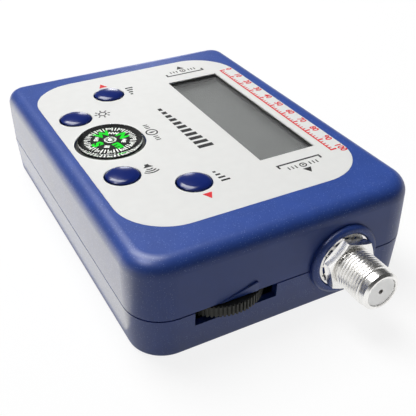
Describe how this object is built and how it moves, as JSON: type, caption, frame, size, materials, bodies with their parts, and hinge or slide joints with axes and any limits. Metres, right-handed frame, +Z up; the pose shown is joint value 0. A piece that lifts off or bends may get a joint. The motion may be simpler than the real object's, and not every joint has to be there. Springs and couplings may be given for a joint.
{
  "type": "satellite signal meter",
  "caption": "Hand-held satellite signal meter: rounded blue box with a display, push buttons, a compass, a thumbwheel and threaded coaxial connectors at both ends.",
  "frame": {"origin": "under the middle of the case, on the surface that it lies on", "axes": "+X towards the end with the thumbwheel, +Y towards the display edge, +Z up out of the face"},
  "size_m": [0.1216, 0.0684, 0.0257],
  "materials": {
    "shell_plastic": "royal blue, satin moulded",
    "label_film": "off-white printed film",
    "clear_acrylic": "clear",
    "display_grey": "grey display, off",
    "black_plastic": "moulded black",
    "strip_rubber": "matt",
    "backlight_white": "white diffuser",
    "board_laminate": "green solder mask",
    "button_plastic": "navy, glossy",
    "capsule_clear": "clear",
    "white_plastic": "moulded white",
    "card_black": "black dial with white and green marks",
    "hub_metal": "bright",
    "steel": "plated",
    "wheel_plastic": "black, ribbed",
    "tin_plate": "tinned",
    "can_aluminium": "satin",
    "nickel_plate": "nickel plated, bright",
    "insulator_white": "white",
    "contact_brass": "plated"
  },
  "bodies": {
    "case": {"board_screws": "steel", "bottom_shell": "shell_plastic", "buzzer": "black_plastic", "capacitors": "can_aluminium", "case_screws": "steel", "chips": "black_plastic", "compass_base": "white_plastic", "compass_capsule": "capsule_clear", "compass_cup": "black_plastic", "compass_pivot": "steel", "crystal": "tin_plate", "display_backlight": "backlight_white", "display_frame": "black_plastic", "display_glass": "display_grey", "display_strips": "strip_rubber", "display_window": "clear_acrylic", "face_label": "label_film", "header_pins": "contact_brass", "header_socket": "black_plastic", "header_strip": "black_plastic", "key_board": "board_laminate", "key_board_screws": "steel", "main_board": "board_laminate", "potentiometer_case": "black_plastic", "processor": "black_plastic", "receiver_port_body": "nickel_plate", "receiver_port_contact": "contact_brass", "receiver_port_insulator": "insulator_white", "receiver_port_nut": "nickel_plate", "receiver_port_washer": "nickel_plate", "satellite_port_body": "nickel_plate", "satellite_port_contact": "contact_brass", "satellite_port_insulator": "insulator_white", "satellite_port_nut": "nickel_plate", "satellite_port_washer": "nickel_plate", "shield_can": "tin_plate", "switch_cases": "black_plastic", "top_shell": "shell_plastic"},
    "down_key": {"down_button": "button_plastic", "down_switch_plunger": "black_plastic"},
    "light_key": {"light_button": "button_plastic", "light_switch_plunger": "black_plastic"},
    "buzzer_key": {"buzzer_button": "button_plastic", "buzzer_switch_plunger": "black_plastic"},
    "up_key": {"up_button": "button_plastic", "up_switch_plunger": "black_plastic"},
    "wheel": {"thumbwheel": "wheel_plastic", "wheel_screw": "steel", "potentiometer_shaft": "white_plastic"},
    "card": {"compass_card": "card_black", "compass_hub": "hub_metal", "compass_magnets": "steel"}
  },
  "joints": [
    {"name": "down_press", "type": "slide", "parent": "case", "child": "down_key", "axis": [0, 0, -1], "range_m": [0, 0.0004], "stiffness_N_per_m": 1200, "springref_m": -0.0003},
    {"name": "light_press", "type": "slide", "parent": "case", "child": "light_key", "axis": [0, 0, -1], "range_m": [0, 0.0004], "stiffness_N_per_m": 1200, "springref_m": -0.0003},
    {"name": "buzzer_press", "type": "slide", "parent": "case", "child": "buzzer_key", "axis": [0, 0, -1], "range_m": [0, 0.0004], "stiffness_N_per_m": 1200, "springref_m": -0.0003},
    {"name": "up_press", "type": "slide", "parent": "case", "child": "up_key", "axis": [0, 0, -1], "range_m": [0, 0.0004], "stiffness_N_per_m": 1200, "springref_m": -0.0003},
    {"name": "wheel_turn", "type": "hinge", "parent": "case", "child": "wheel", "pos_m": [0.0386, -0.013, 0.00885], "axis": [0, 0, 1], "range_deg": [-140, 140]},
    {"name": "card_turn", "type": "hinge", "parent": "case", "child": "card", "pos_m": [-0.0022, -0.0197, 0.0238], "axis": [0, 0, 1], "continuous": true}
  ]
}
